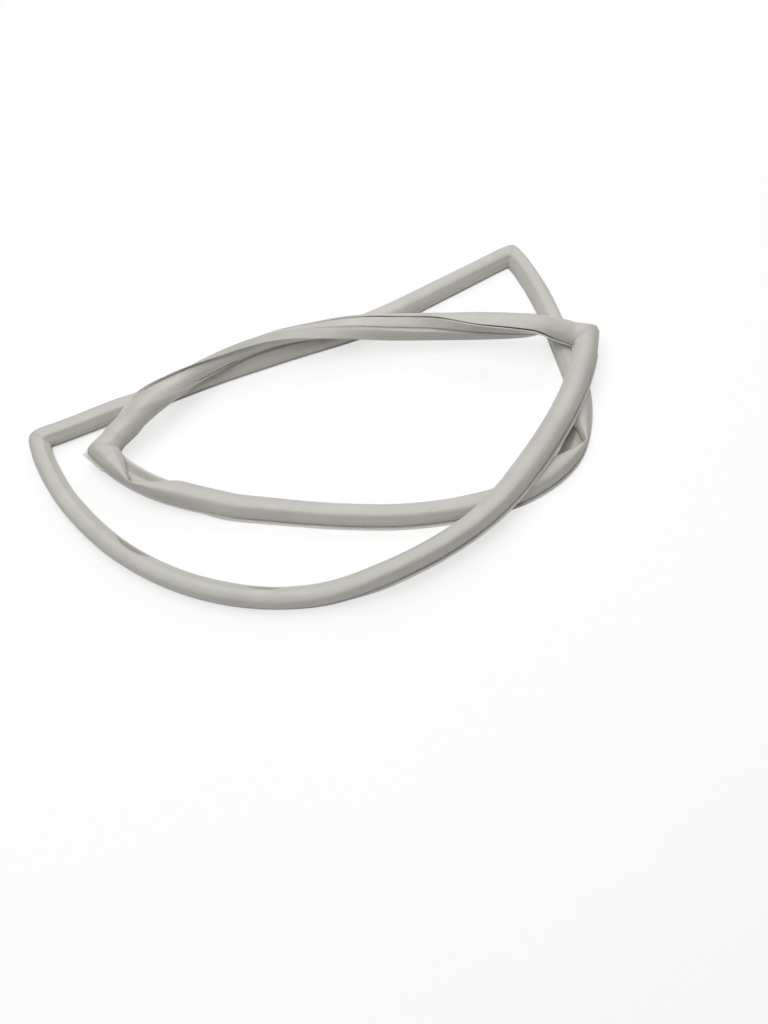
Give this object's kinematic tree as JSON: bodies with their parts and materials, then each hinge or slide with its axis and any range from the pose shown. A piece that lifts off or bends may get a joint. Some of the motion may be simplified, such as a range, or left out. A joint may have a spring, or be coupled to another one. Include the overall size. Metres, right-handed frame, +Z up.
{
  "type": "refrigerator door gasket",
  "caption": "Loose refrigerator door gasket: a welded loop of soft magnetic seal profile, doubled over on itself with one twist.",
  "frame": {"origin": "middle of the heap's plan, on the surface it rests on", "axes": "+X along the heap's length to the viewer's right, +Y away from the viewer, +Z up"},
  "size_m": [0.563, 0.4144, 0.0466],
  "materials": {
    "vinyl": "soft satin, warm light grey",
    "magnet": "matt, dark grey ferrite in rubber"
  },
  "bodies": {
    "root": {"gasket_profile": "vinyl", "magnet_strip_front": "magnet", "magnet_strip_twisted": "magnet", "magnet_strip_inner": "magnet", "magnet_strip_back": "magnet"}
  },
  "joints": []
}
